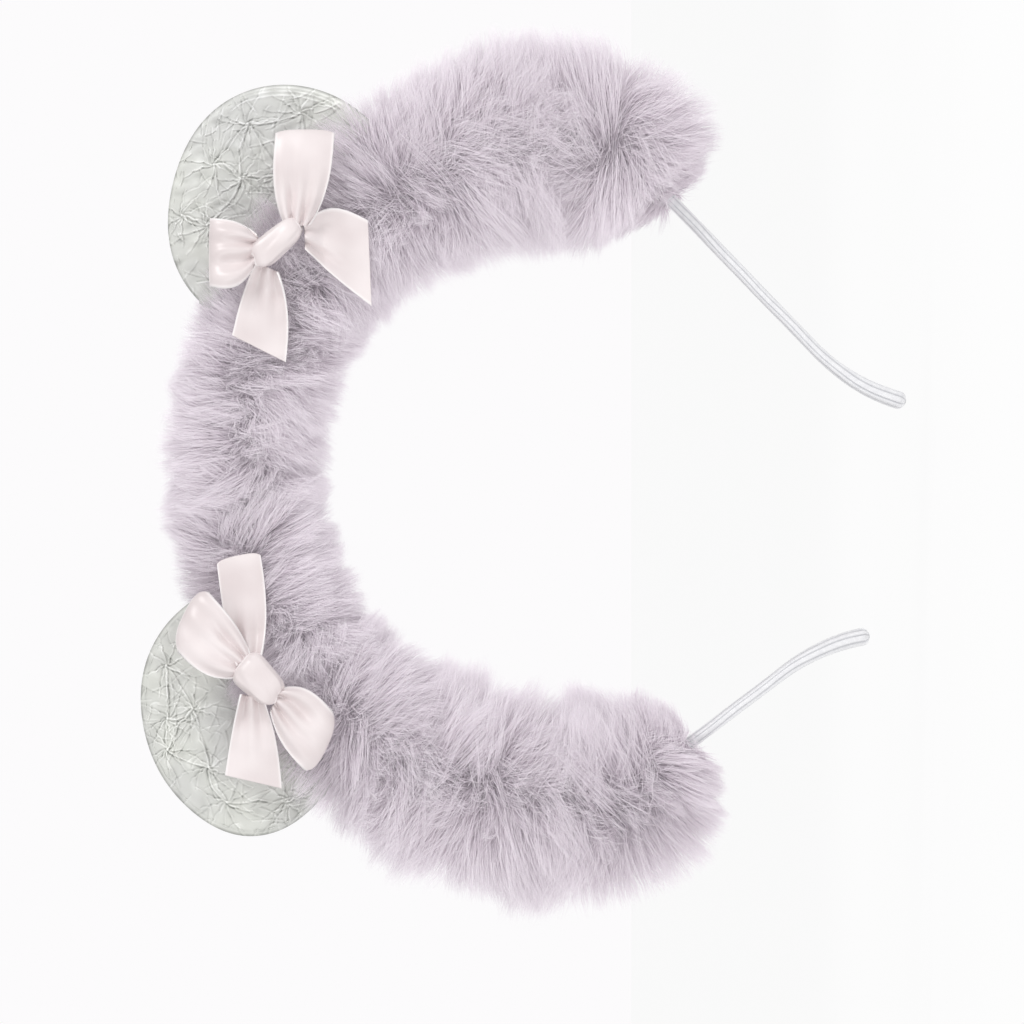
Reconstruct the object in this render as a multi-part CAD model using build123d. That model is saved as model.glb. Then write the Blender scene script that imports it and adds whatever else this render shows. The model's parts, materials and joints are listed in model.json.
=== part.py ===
from build123d import *
from collections import namedtuple
from math import cos, degrees, radians, sin, tan
import os

# A headband with two round fabric ears and two ribbon bows on a furry sleeve, upright as it is worn.
# +Z is up, +X is towards the wearer's left and -Y is the front.  Sizes are millimetres.  The origin
# is where the furry sleeve rests on top of the head.  Every hoop angle is measured from the top of
# the head, about the centre of the hoop.  Each side is modelled on +X and the right one is mirrored.

# Furry sleeve, from the band outwards: wadding, knitted backing, pile
CROWN_PILE_RADIUS = 15.0
ARM_PILE_RADIUS = 18.0
BACKING_RADIUS = 9.6
BACKING_THICKNESS = 0.8
WADDING_RADIUS = BACKING_RADIUS - BACKING_THICKNESS

# The band's centreline: a round hoop over the head, then an elbow, a straight shank and a hooked tip
HOOP_RADIUS = 73.0
HOOP_CENTRE_Z = CROWN_PILE_RADIUS - HOOP_RADIUS
ELBOW_ANGLE = 86.0
Arm = namedtuple("Arm", "side elbow_radius lean shank hook_radius hook_turn sleeve_reach")
LEFT_ARM = Arm("left", 26.0, 136.0, 53.5, 42.0, 30.0, 1.0)
RIGHT_ARM = Arm("right", 32.0, 127.0, 37.0, 42.0, 26.0, 4.0)

# Spring-steel strip inside its satin cover, and the folded fabric cap on each tip
STEEL_WIDTH, STEEL_THICKNESS = 6.0, 1.0
COVER_WIDTH, COVER_THICKNESS = 8.0, 3.2
CAP_WIDTH, CAP_THICKNESS = 10.0, 4.6
CAP_LENGTH = 14.0
CAP_OVERHANG = 1.6
CAP_ROUNDING = 1.3
STEEL_SETBACK = 4.0

# The band bends open beside each ear: a notch leaves the soft layers room for that
FLEX_ANGLE = 63.0
BAND_GAP = 1.0
NOTCH_GAP = 1.2
NOTCH_OUTER_ANGLE = 10.5
NOTCH_INNER_ANGLE = 4.5
NOTCH_REACH = 40.0

# Tapered ends of the sleeve, gathered in by a thread
BACKING_TAPER, BACKING_END_RADIUS = 6.0, 5.4
PILE_TAPER, PILE_END_RADIUS = 9.0, 11.5
GATHER_THREAD_RADIUS = 0.4
THREAD_CLEARANCE = 0.1
MOUTH_RADIUS = BACKING_END_RADIUS + 2 * GATHER_THREAD_RADIUS + THREAD_CLEARANCE

# Round padded ears, hinged on the rolled seam along their base
EAR_RADIUS = 27.5
EAR_CENTRE_RADIUS = HOOP_RADIUS + 13.5
EAR_Y = -5.0
EAR_HALF_THICKNESS = 3.0
EAR_RIM_HALF_THICKNESS = 0.9
EAR_SHOULDER = 0.75
EAR_SEAM_WIDTH = 1.7
EAR_SKIN = 0.7
ROLL_RADIUS = 1.2
ROLL_LENGTH = 42.0
ROLL_HOOP_RADIUS = HOOP_RADIUS + 10.4
EAR_BASE_RISE = 2.2
WEB_THICKNESS = 1.0
THREAD_RADIUS = 0.3
STITCH_HOLE_PLAY = 0.4
BASE_STITCH_OFFSETS = (-18.0, -9.0, 9.0, 18.0)
EDGE_STITCH_INSET = 2.0
EDGE_STITCH_LIFT = 0.4
EDGE_STITCH_LENGTH = 2.2
EDGE_STITCH_PITCH = 8.0
EDGE_STITCH_SPAN = 80.0
SLOT_HALF_LENGTH = 29.0
SLOT_FRONT, SLOT_BACK = 4.6, 5.2
SLOT_FLOOR = 8.0
SLOT_TOP = 14.0

# Ribbon bows, flat in front of the sleeve; directions are degrees from +X towards +Z
RIBBON = 0.4
KNOT_DEPTH = 6.8
KNOT_ROUNDING = 1.6
LOOP_DEPTH = 5.0
LOOP_PINCH = 5.0
TAIL_PINCH = 5.0
TAIL_SETBACK = 0.1
BOW_CLEARANCE = 0.5
TACK_RADIUS = 0.5
TACK_CLEARANCE = 0.05
TACK_INSET = 2.4
TACK_DEPTH = 2.0
Loop = namedtuple("Loop", "name direction length width")
Tail = namedtuple("Tail", "name direction length width cut")
Bow = namedtuple("Bow", "side hoop_angle rise knot_direction knot_size loops tails")
LEFT_BOW = Bow(
    "left", 37.2, 9.5, -53.0, (13.0, 6.5),
    (Loop("outer_loop", -14.0, 25.0, 13.5), Loop("upper_loop", 98.0, 16.0, 14.5)),
    (Tail("lower_tail", -125.0, 22.0, 14.0, 5.0), Tail("inner_tail", 170.0, 24.0, 12.8, -3.0)),
)
RIGHT_BOW = Bow(
    "right", 33.5, 10.3, 140.0, (12.0, 7.0),
    (Loop("upper_loop", 135.0, 23.5, 12.0), Loop("lower_loop", -42.0, 21.0, 14.0)),
    (Tail("inner_tail", 170.0, 26.5, 11.0, 2.0), Tail("outer_tail", 3.0, 22.0, 12.5, -2.0)),
)
EAR_ANGLES = {"left": 41.5, "right": 36.7}


# ---------------------------------------------------------------- directions and frames

def heading(angle):
    """Unit vector along the band at a hoop angle, away from the crown."""
    return Vector(cos(radians(angle)), 0, -sin(radians(angle)))


def inward(angle):
    """Unit vector square to the band at a hoop angle, towards the head."""
    return Vector(-sin(radians(angle)), 0, -cos(radians(angle)))


def hoop_point(angle, radius=HOOP_RADIUS, y=0.0):
    return Vector(0, y, HOOP_CENTRE_Z) - inward(angle) * radius


def section_plane(point, angle):
    """A plane square to the band, with its own X across the band's width."""
    return Plane(origin=point, x_dir=(0, 1, 0), z_dir=heading(angle))


def ear_plane(side):
    """The ear's frame: X along the band, Y away from the head, Z to the front."""
    angle = EAR_ANGLES[side]
    return Plane(hoop_point(angle, EAR_CENTRE_RADIUS, EAR_Y), x_dir=heading(angle), z_dir=(0, -1, 0))


def to_side(shape, side):
    return shape if side == "left" else mirror(shape, Plane.YZ)


# ---------------------------------------------------------------- the band's centreline

def bend(start, angle, end_angle, radius):
    """An arc and its end. A growing angle turns towards the head, a falling one away from it."""
    towards_centre = radius if end_angle > angle else -radius
    centre = start + inward(angle) * towards_centre
    middle = centre - inward((angle + end_angle) / 2) * towards_centre
    end = centre - inward(end_angle) * towards_centre
    return ThreePointArc(start, middle, end), end


def straight(start, angle, length):
    end = start + heading(angle) * length
    return Line(start, end), end


def hoop_arc(from_angle, to_angle):
    return bend(hoop_point(from_angle), from_angle, to_angle, HOOP_RADIUS)[0]


def elbow_bend(arm):
    """The elbow's arc and its lower end, where the arm's straight part begins."""
    return bend(hoop_point(ELBOW_ANGLE), ELBOW_ANGLE, arm.lean, arm.elbow_radius)


def sleeve_route(arm):
    """The stretch of an arm that the sleeve covers, up to where the sleeve starts to taper."""
    elbow, point = elbow_bend(arm)
    end_run, end = straight(point, arm.lean, arm.sleeve_reach)
    return Wire([hoop_arc(FLEX_ANGLE, ELBOW_ANGLE), elbow, end_run]), end


def hook_bend(arm, end_angle):
    """The shank, and the hook's arc from the shank's lower end to a given angle, with its end."""
    _, point = elbow_bend(arm)
    shank, point = straight(point, arm.lean, arm.shank)
    hook, end = bend(point, arm.lean, end_angle, arm.hook_radius)
    return shank, hook, end


def leg_route(arm, from_angle, stop_short=0.0):
    """The whole arm's centreline to its tip, or to a little before it."""
    elbow, _ = elbow_bend(arm)
    tip_angle = arm.lean - arm.hook_turn + degrees(stop_short / arm.hook_radius)
    shank, hook, _ = hook_bend(arm, tip_angle)
    return Wire([hoop_arc(from_angle, ELBOW_ANGLE), elbow, shank, hook])


def swept(profile, route, start, angle):
    return sweep(section_plane(start, angle) * profile, path=route)


# ---------------------------------------------------------------- steel strip, satin cover and caps

STEEL_PROFILE = Rectangle(STEEL_WIDTH, STEEL_THICKNESS)
COVER_PROFILE = SlotOverall(COVER_WIDTH, COVER_THICKNESS)
BAND_GAP_ANGLE = degrees(BAND_GAP / 2 / HOOP_RADIUS)


def crown_strip(profile):
    end = FLEX_ANGLE - BAND_GAP_ANGLE
    return swept(profile, Wire([hoop_arc(-end, end)]), hoop_point(-end), -end)


def arm_strip(profile, arm, stop_short=0.0):
    start = FLEX_ANGLE + BAND_GAP_ANGLE
    return swept(profile, leg_route(arm, start, stop_short), hoop_point(start), start)


def arm_cover(arm):
    return arm_strip(COVER_PROFILE, arm) - arm_strip(STEEL_PROFILE, arm, STEEL_SETBACK)


def tip_cap(arm):
    """A folded fabric cap over the tip, with a rounded end."""
    profile = SlotOverall(CAP_WIDTH, CAP_THICKNESS)
    tip_angle = arm.lean - arm.hook_turn
    start_angle = tip_angle + degrees(CAP_LENGTH / arm.hook_radius)
    _, _, start = hook_bend(arm, start_angle)
    route, tip = bend(start, start_angle, tip_angle, arm.hook_radius)
    cap = swept(profile, Wire([route]), start, start_angle)
    cap += extrude(section_plane(tip, tip_angle) * profile, CAP_OVERHANG, dir=heading(tip_angle))
    end_face = cap.faces().sort_by(Axis(tip, heading(tip_angle)))[-1]
    cap = fillet(end_face.edges(), CAP_ROUNDING)
    return cap - arm_strip(COVER_PROFILE, arm)


# ---------------------------------------------------------------- the furry sleeve's three layers

def flex_notch():
    """The wedge-shaped gap at the left flex line, wider outside, where the opening arm closes it."""
    half = NOTCH_GAP / 2
    outer = half + NOTCH_REACH * tan(radians(NOTCH_OUTER_ANGLE))
    inner = half + NOTCH_REACH * tan(radians(NOTCH_INNER_ANGLE))
    outline = Polygon(
        (half, 0), (inner, NOTCH_REACH), (-inner, NOTCH_REACH),
        (-half, 0), (-outer, -NOTCH_REACH), (outer, -NOTCH_REACH), align=None,
    )
    hinge = Plane(hoop_point(FLEX_ANGLE), x_dir=heading(FLEX_ANGLE), z_dir=(0, 1, 0))
    return extrude(hinge * outline, NOTCH_REACH, both=True)


def crown_tube(radius):
    start = hoop_point(-FLEX_ANGLE)
    return swept(Circle(radius), Wire([hoop_arc(-FLEX_ANGLE, FLEX_ANGLE)]), start, -FLEX_ANGLE)


def arm_tube(arm, radius, taper, end_radius):
    route, end = sleeve_route(arm)
    tube = swept(Circle(radius), route, hoop_point(FLEX_ANGLE), FLEX_ANGLE)
    cone = Cone(radius, end_radius, taper, align=(Align.CENTER, Align.CENTER, Align.MIN))
    return tube + section_plane(end, arm.lean) * cone


def notched(shape):
    """A crown layer with the flex notch cut at both of its ends."""
    return shape - flex_notch() - mirror(flex_notch(), Plane.YZ)


def crown_wadding():
    return notched(crown_tube(WADDING_RADIUS) - crown_strip(COVER_PROFILE))


def crown_backing():
    return notched(crown_tube(BACKING_RADIUS) - crown_tube(WADDING_RADIUS))


def ear_slot(side):
    """Room in the pile for an ear's base and for its tilt."""
    slot = Box(2 * SLOT_HALF_LENGTH, SLOT_FLOOR + SLOT_TOP, SLOT_FRONT + SLOT_BACK)
    centre = Location((0, (SLOT_TOP - SLOT_FLOOR) / 2, (SLOT_FRONT - SLOT_BACK) / 2))
    return to_side(ear_plane(side) * centre * slot, side)


def crown_pile():
    pile = notched(crown_tube(CROWN_PILE_RADIUS) - crown_tube(BACKING_RADIUS))
    for bow in (LEFT_BOW, RIGHT_BOW):
        pile -= ear_slot(bow.side)
        pile -= to_side(tack_thread(bow), bow.side)
    return pile


def arm_layers(arm):
    """Wadding, backing and pile of one arm, nested from the satin cover outwards."""
    core_end = BACKING_END_RADIUS - BACKING_THICKNESS
    core = arm_tube(arm, WADDING_RADIUS, BACKING_TAPER, core_end)
    skin = arm_tube(arm, BACKING_RADIUS, BACKING_TAPER, BACKING_END_RADIUS)
    fur = arm_tube(arm, ARM_PILE_RADIUS, PILE_TAPER, PILE_END_RADIUS)
    _, end = sleeve_route(arm)
    bottom_up = (Align.CENTER, Align.CENTER, Align.MIN)
    mouth = section_plane(end, arm.lean) * Cylinder(MOUTH_RADIUS, 2 * PILE_TAPER, align=bottom_up)
    return {
        "wadding": core - arm_strip(COVER_PROFILE, arm) - flex_notch(),
        "backing": skin - core - flex_notch(),
        "pile": fur - skin - mouth - flex_notch(),
    }


def gather_thread(arm):
    """A ring of thread that draws the sleeve's end in around the band."""
    _, end = sleeve_route(arm)
    ring = Torus(BACKING_END_RADIUS + GATHER_THREAD_RADIUS, GATHER_THREAD_RADIUS)
    return section_plane(end + heading(arm.lean) * (BACKING_TAPER + GATHER_THREAD_RADIUS), arm.lean) * ring


# ---------------------------------------------------------------- ears

def lens(radius, rim_half, centre_half):
    """A round pad, thin at its rim and domed on both faces, about its own Z."""
    mid_half = rim_half + (centre_half - rim_half) * EAR_SHOULDER
    profile = make_face([
        Line((0, -centre_half), (0, centre_half)),
        ThreePointArc((0, centre_half), (radius / 2, mid_half), (radius, rim_half)),
        Line((radius, rim_half), (radius, -rim_half)),
        ThreePointArc((radius, -rim_half), (radius / 2, -mid_half), (0, -centre_half)),
    ])
    return revolve(Plane.XZ * profile, Axis.Z)


def above_base(shape):
    """The part of an ear above its pinched base."""
    base_y = ROLL_HOOP_RADIUS - EAR_CENTRE_RADIUS + EAR_BASE_RISE
    keep = Box(3 * EAR_RADIUS, 2 * EAR_RADIUS, 2 * EAR_RADIUS, align=(Align.CENTER, Align.MIN, Align.CENTER))
    return shape & (Location((0, base_y, 0)) * keep)


def ear_pieces():
    """Front and back panels and the filling between them, in the ear's frame."""
    filling = lens(EAR_RADIUS - EAR_SEAM_WIDTH, EAR_RIM_HALF_THICKNESS / 2, EAR_HALF_THICKNESS - EAR_SKIN)
    shell = lens(EAR_RADIUS, EAR_RIM_HALF_THICKNESS, EAR_HALF_THICKNESS) - filling
    half = Box(3 * EAR_RADIUS, 3 * EAR_RADIUS, EAR_RADIUS, align=(Align.CENTER, Align.CENTER, Align.MIN))
    front = above_base(shell & half)
    back = above_base(shell & mirror(half, Plane.XY))
    return {"front_panel": front, "back_panel": back, "filling": above_base(filling)}


def edge_stitching():
    """A dashed line of thread inside the rim, on the front face."""
    radius = EAR_RADIUS - EDGE_STITCH_INSET
    surface = EAR_RIM_HALF_THICKNESS + EDGE_STITCH_LIFT
    dash = Rot(0, 90, 0) * Cylinder(THREAD_RADIUS, EDGE_STITCH_LENGTH)
    count = int(2 * EDGE_STITCH_SPAN / EDGE_STITCH_PITCH) + 1
    dashes = []
    for index in range(count):
        turn = -EDGE_STITCH_SPAN + index * EDGE_STITCH_PITCH
        dashes.append(Rot(0, 0, turn) * Location((0, radius, surface + THREAD_RADIUS)) * dash)
    return Part() + dashes


def base_roll():
    """The rolled seam on which the ear tilts, and the two layers that join it to the ear."""
    axis_y = ROLL_HOOP_RADIUS - EAR_CENTRE_RADIUS
    roll = Rot(0, 90, 0) * Cylinder(ROLL_RADIUS, ROLL_LENGTH)
    web = Box(ROLL_LENGTH, EAR_BASE_RISE, WEB_THICKNESS, align=(Align.CENTER, Align.MIN, Align.CENTER))
    hole_width = 2 * (THREAD_RADIUS + STITCH_HOLE_PLAY)
    for offset in BASE_STITCH_OFFSETS:
        hole = Box(hole_width, EAR_BASE_RISE, WEB_THICKNESS, align=(Align.CENTER, Align.MIN, Align.CENTER))
        web -= Location((offset, ROLL_RADIUS, 0)) * hole
    return Location((0, axis_y, 0)) * (roll + web)


def base_stitches():
    """Loops of thread around the roll, each reaching down to the curved backing."""
    axis_y = ROLL_HOOP_RADIUS - EAR_CENTRE_RADIUS
    loop_radius = ROLL_RADIUS + THREAD_CLEARANCE + THREAD_RADIUS
    loops = []
    for offset in BASE_STITCH_OFFSETS:
        drop = offset ** 2 / (2 * ROLL_HOOP_RADIUS)
        outline = SlotCenterToCenter(drop, 2 * loop_radius)
        plane = Plane((offset, axis_y - drop / 2, 0), x_dir=(0, 1, 0), z_dir=(1, 0, 0))
        route = (plane * outline).wire()
        thread = Plane(origin=route @ 0, z_dir=route % 0) * Circle(THREAD_RADIUS)
        loops.append(sweep(thread, path=route))
    return Part() + loops


# ---------------------------------------------------------------- bows

BOW_BACK = KNOT_DEPTH / 2
BOW_Y = -(CROWN_PILE_RADIUS + BOW_CLEARANCE + BOW_BACK)


def bow_plane(bow):
    """The bow's frame: X and Y across its face, Z to the front, origin in the knot."""
    knot = hoop_point(bow.hoop_angle, HOOP_RADIUS + bow.rise, BOW_Y)
    return Plane(knot, x_dir=(1, 0, 0), z_dir=(0, -1, 0))


def tack_point(bow):
    """Where the tacking thread runs through the knot, as X and Y in the bow's frame."""
    towards_head = inward(bow.hoop_angle) * TACK_INSET
    return towards_head.X, towards_head.Z


def knot_block(bow):
    length, width = bow.knot_size
    block = fillet(Box(length, width, KNOT_DEPTH).edges(), KNOT_ROUNDING)
    return Rot(0, 0, bow.knot_direction) * block


def tack_bore(bow):
    x, y = tack_point(bow)
    return Location((x, y, -BOW_BACK)) * Cylinder(TACK_RADIUS + TACK_CLEARANCE, 2 * TACK_DEPTH)


def ribbon_loop(loop):
    """A ribbon folded back on itself, narrow where it is pinched and wide at its fold."""
    ring = Ellipse(loop.length / 2, LOOP_DEPTH / 2)
    ring -= Ellipse(loop.length / 2 - RIBBON, LOOP_DEPTH / 2 - RIBBON)
    band = extrude(Plane.XZ * Location((loop.length / 2, 0)) * ring, loop.width, both=True)
    outline = Polygon(
        (0, -LOOP_PINCH / 2), (loop.length, -loop.width / 2),
        (loop.length, loop.width / 2), (0, LOOP_PINCH / 2), align=None,
    )
    return Rot(0, 0, loop.direction) * (band & extrude(outline, LOOP_DEPTH, both=True))


def ribbon_tail(tail, depth):
    """A flat ribbon end with a slanting cut, at its own depth behind the loops."""
    outline = Polygon(
        (0, -TAIL_PINCH / 2), (tail.length + tail.cut, -tail.width / 2),
        (tail.length - tail.cut, tail.width / 2), (0, TAIL_PINCH / 2), align=None,
    )
    return Rot(0, 0, tail.direction) * Location((0, 0, depth)) * extrude(outline, RIBBON)


def largest_solid(shape):
    return shape.solids().sort_by(SortBy.VOLUME)[-1]


def bow_pieces(bow):
    """Knot, loops and tails in the bow's frame; each ribbon stops at the knot."""
    block = knot_block(bow)
    bore = tack_bore(bow)
    first_loop, second_loop = bow.loops
    pieces = {"knot": block - bore}
    folded = ribbon_loop(first_loop) - block
    pieces[first_loop.name] = folded
    pieces[second_loop.name] = largest_solid(ribbon_loop(second_loop) - block - folded)
    for layer, tail in enumerate(bow.tails):
        depth = TAIL_SETBACK - BOW_BACK + layer * RIBBON
        pieces[tail.name] = largest_solid(ribbon_tail(tail, depth) - block - bore)
    return pieces


def tack_thread(bow):
    """The thread that holds the knot, straight back from it to the backing."""
    x, y = tack_point(bow)
    place = bow_plane(bow) * Location((x, y, TACK_DEPTH - BOW_BACK - TACK_CLEARANCE))
    top_down = (Align.CENTER, Align.CENTER, Align.MAX)
    thread = place * Cylinder(TACK_RADIUS, CROWN_PILE_RADIUS + TACK_DEPTH, align=top_down)
    return thread - crown_tube(BACKING_RADIUS)


# ---------------------------------------------------------------- assembly

def crown_nodes():
    return {
        "band_crown": crown_strip(STEEL_PROFILE),
        "cover_crown": crown_strip(COVER_PROFILE) - crown_strip(STEEL_PROFILE),
        "wadding_crown": crown_wadding(),
        "backing_crown": crown_backing(),
        "pile_crown": crown_pile(),
    }


def arm_nodes(arm):
    nodes = {
        "band_arm": arm_strip(STEEL_PROFILE, arm, STEEL_SETBACK),
        "cover_arm": arm_cover(arm),
        "tip_cap": tip_cap(arm),
        "gather_thread": gather_thread(arm),
    }
    nodes.update({f"{layer}_arm": shape for layer, shape in arm_layers(arm).items()})
    return {f"{name}_{arm.side}": to_side(shape, arm.side) for name, shape in nodes.items()}


def ear_nodes(side):
    shapes = ear_pieces()
    shapes["edge_stitching"] = edge_stitching()
    shapes["base_roll"] = base_roll()
    shapes["base_stitches"] = base_stitches()
    frame = ear_plane(side)
    return {f"ear_{side}_{name}": to_side(frame * shape, side) for name, shape in shapes.items()}


def bow_nodes(bow):
    frame = bow_plane(bow)
    shapes = {name: frame * shape for name, shape in bow_pieces(bow).items()}
    shapes["tack_thread"] = tack_thread(bow)
    return {f"bow_{bow.side}_{name}": to_side(shape, bow.side) for name, shape in shapes.items()}


def all_nodes():
    nodes = crown_nodes()
    for arm in (LEFT_ARM, RIGHT_ARM):
        nodes.update(arm_nodes(arm))
    for bow in (LEFT_BOW, RIGHT_BOW):
        nodes.update(ear_nodes(bow.side))
        nodes.update(bow_nodes(bow))
    return nodes


os.makedirs("parts", exist_ok=True)
for node_name, node_shape in all_nodes().items():
    export_step(node_shape, f"parts/{node_name}.step")
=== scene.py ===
from collections import namedtuple
import json
from math import asin, cos, pi, radians, sin

import bpy
import numpy as np
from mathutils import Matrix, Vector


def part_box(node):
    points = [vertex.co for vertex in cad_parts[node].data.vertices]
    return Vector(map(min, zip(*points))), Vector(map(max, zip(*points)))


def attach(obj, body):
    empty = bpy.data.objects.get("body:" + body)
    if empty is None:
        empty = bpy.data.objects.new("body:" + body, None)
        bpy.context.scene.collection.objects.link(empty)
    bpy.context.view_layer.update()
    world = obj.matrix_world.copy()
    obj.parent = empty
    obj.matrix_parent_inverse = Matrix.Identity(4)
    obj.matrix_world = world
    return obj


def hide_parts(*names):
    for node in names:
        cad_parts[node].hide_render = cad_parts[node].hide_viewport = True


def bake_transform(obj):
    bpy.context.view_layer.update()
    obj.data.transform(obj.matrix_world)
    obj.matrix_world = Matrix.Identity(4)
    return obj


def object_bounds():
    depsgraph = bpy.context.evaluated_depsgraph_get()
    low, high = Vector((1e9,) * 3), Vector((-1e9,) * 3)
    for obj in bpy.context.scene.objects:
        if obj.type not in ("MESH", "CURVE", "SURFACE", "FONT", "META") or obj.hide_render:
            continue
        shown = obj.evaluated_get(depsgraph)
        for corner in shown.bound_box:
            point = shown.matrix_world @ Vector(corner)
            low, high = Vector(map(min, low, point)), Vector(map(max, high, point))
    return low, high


# A headband with two round satin ears and two ribbon bows on a furry sleeve.  Metres, +Z up, +X
# towards the wearer's left, -Y the front.  Distances along the band are signed: they start at the
# crown, and grow towards the left tip and fall towards the right one.

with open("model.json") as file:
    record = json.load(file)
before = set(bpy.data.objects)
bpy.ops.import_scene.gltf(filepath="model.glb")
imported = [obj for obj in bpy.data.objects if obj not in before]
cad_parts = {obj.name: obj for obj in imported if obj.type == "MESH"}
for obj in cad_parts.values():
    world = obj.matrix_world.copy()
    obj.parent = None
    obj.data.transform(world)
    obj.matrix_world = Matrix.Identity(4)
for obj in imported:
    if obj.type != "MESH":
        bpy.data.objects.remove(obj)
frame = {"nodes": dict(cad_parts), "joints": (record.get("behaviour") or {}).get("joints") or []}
cad_low, cad_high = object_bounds()
MM = 0.001
SEED = 875
SIDES = {"left": 1.0, "right": -1.0}
JOINTS = {joint["name"]: joint for joint in frame["joints"]}
ACROSS = np.array([0.0, 1.0, 0.0])


def unit(vectors):
    return vectors / np.maximum(np.linalg.norm(vectors, axis=-1, keepdims=True), 1e-12)


def smooth(low, high, values):
    share = np.clip((values - low) / (high - low), 0.0, 1.0)
    return share * share * (3.0 - 2.0 * share)


def bell(offset, width):
    return np.exp(-(offset / width) ** 2)


def circle(count):
    return np.linspace(0, 2 * pi, count, endpoint=False)


# ---- the band's centreline

STEEL_HALF = 0.5 * MM
CROWN_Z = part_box("band_crown")[1].z - STEEL_HALF
FLEX_POINT = np.array(JOINTS["arm_left_flex"]["pos_m"])
FLEX_DROP = CROWN_Z - FLEX_POINT[2]
HOOP_RADIUS = (FLEX_POINT[0] ** 2 + FLEX_DROP ** 2) / (2 * FLEX_DROP)
HOOP_CENTRE = np.array([0.0, 0.0, CROWN_Z - HOOP_RADIUS])
FLEX_DISTANCE = HOOP_RADIUS * asin(FLEX_POINT[0] / HOOP_RADIUS)
ELBOW_ANGLE = radians(86.0)
Arm = namedtuple("Arm", "elbow_radius lean shank hook_radius hook_turn sleeve_reach")
ARMS = {
    "left": Arm(26 * MM, radians(136), 53.5 * MM, 42 * MM, radians(30), 1 * MM),
    "right": Arm(32 * MM, radians(127), 37 * MM, 42 * MM, radians(26), 4 * MM),
}
WALK_STEP, WALK_PAST_TIP = 0.1 * MM, 20 * MM


def arm_stops(side):
    """How far along the band the hoop, the elbow, the shank and the hook each end."""
    arm = ARMS[side]
    elbow, hook = arm.elbow_radius * (arm.lean - ELBOW_ANGLE), arm.hook_radius * arm.hook_turn
    return np.cumsum((0.0, HOOP_RADIUS * ELBOW_ANGLE, elbow, arm.shank, hook))


def sleeve_end(side):
    """How far along the band the sleeve's full width reaches."""
    return arm_stops(side)[2] + ARMS[side].sleeve_reach


def tip_distance(side):
    return arm_stops(side)[-1]


def walk_band(side):
    """Distance, heading angle, sideways place and height along one side's centreline."""
    arm, stops = ARMS[side], arm_stops(side)
    angles = (0.0, ELBOW_ANGLE, arm.lean, arm.lean, arm.lean - arm.hook_turn)
    distance = np.arange(0.0, stops[-1] + WALK_PAST_TIP, WALK_STEP)
    angle = np.interp(distance, stops, angles)
    sideways = np.cumsum(np.cos(angle)) * WALK_STEP
    height = CROWN_Z - np.cumsum(np.sin(angle)) * WALK_STEP
    return distance, angle, sideways, height


WALKS = {side: walk_band(side) for side in SIDES}


def band_at(distance):
    """Centreline points, the direction in which distance grows, and the direction away from the head."""
    sign = np.where(distance < 0, -1.0, 1.0)
    sides = [np.stack([np.interp(np.abs(distance), walk[0], column) for column in walk[1:]], -1)
             for walk in (WALKS["right"], WALKS["left"])]
    angle, sideways, height = np.moveaxis(np.where(sign[..., None] < 0, *sides), -1, 0)
    zero = np.zeros_like(angle)
    place = np.stack([sign * sideways, zero, height], -1)
    along = np.stack([np.cos(angle), zero, -sign * np.sin(angle)], -1)
    outward = np.stack([sign * np.sin(angle), zero, np.cos(angle)], -1)
    return place, along, outward


# ---- meshes

def add_object(name, data):
    made = bpy.data.objects.new(name, data)
    bpy.context.scene.collection.objects.link(made)
    return made


def mesh_object(name, points, triangles, material, uv=None, values=None):
    """A smooth-shaded object from arrays, with a per-point UV and named per-point numbers."""
    mesh = bpy.data.meshes.new(name)
    mesh.vertices.add(len(points))
    mesh.vertices.foreach_set("co", points.astype(np.float32).ravel())
    mesh.loops.add(triangles.size)
    mesh.loops.foreach_set("vertex_index", triangles.astype(np.int32).ravel())
    mesh.polygons.add(len(triangles))
    mesh.polygons.foreach_set("loop_start", np.arange(0, triangles.size, 3, dtype=np.int32))
    mesh.update(calc_edges=True)
    mesh.shade_smooth()
    if uv is not None:
        layer = mesh.uv_layers.new(name="OFBake")
        layer.data.foreach_set("uv", uv[triangles.ravel()].astype(np.float32).ravel())
    for label, numbers in (values or {}).items():
        attribute = mesh.attributes.new(label, "FLOAT", "POINT")
        attribute.data.foreach_set("value", numbers.astype(np.float32).ravel())
    mesh.materials.append(material)
    mesh.validate()
    return add_object(name, mesh)


def grid_triangles(rows, columns, closed_rows=False, closed_columns=True):
    """Triangles over a grid of points numbered row by row."""
    corner = np.arange(rows * columns).reshape(rows, columns)
    below, beside = np.roll(corner, -1, 0), np.roll(corner, -1, 1)
    squares = np.stack([corner, below, np.roll(below, -1, 1), beside], -1)
    squares = squares[:rows if closed_rows else -1, :columns if closed_columns else -1].reshape(-1, 4)
    return np.concatenate([squares[:, (0, 1, 2)], squares[:, (0, 2, 3)]])


def grid_normals(grid):
    """Unit normals of a grid of points, by differences between neighbours."""
    return unit(np.cross(np.gradient(grid, axis=0), np.gradient(grid, axis=1)))


def sheet_from_grid(name, middle, thickness, material, values):
    """A thin closed sheet round a grid of points. thickness is one number per point."""
    rows, columns = middle.shape[:2]
    offset = grid_normals(middle) * (thickness[..., None] / 2)
    points = np.concatenate([(middle + offset).reshape(-1, 3), (middle - offset).reshape(-1, 3)])
    front = grid_triangles(rows, columns, closed_columns=False)
    other = rows * columns
    number = np.arange(other).reshape(rows, columns)
    rim = np.concatenate([number[0, :-1], number[:-1, -1], number[-1, :0:-1], number[:0:-1, 0]])
    follows = np.roll(rim, -1)
    walls = (rim, follows, follows + other), (rim, follows + other, rim + other)
    walls = [np.stack(wall, -1) for wall in walls]
    triangles = np.concatenate([front, front[:, ::-1] + other, *walls])
    doubled = {label: np.tile(numbers.ravel(), 2) for label, numbers in values.items()}
    return mesh_object(name, points, triangles, material, values=doubled)


# ---- materials

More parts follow.
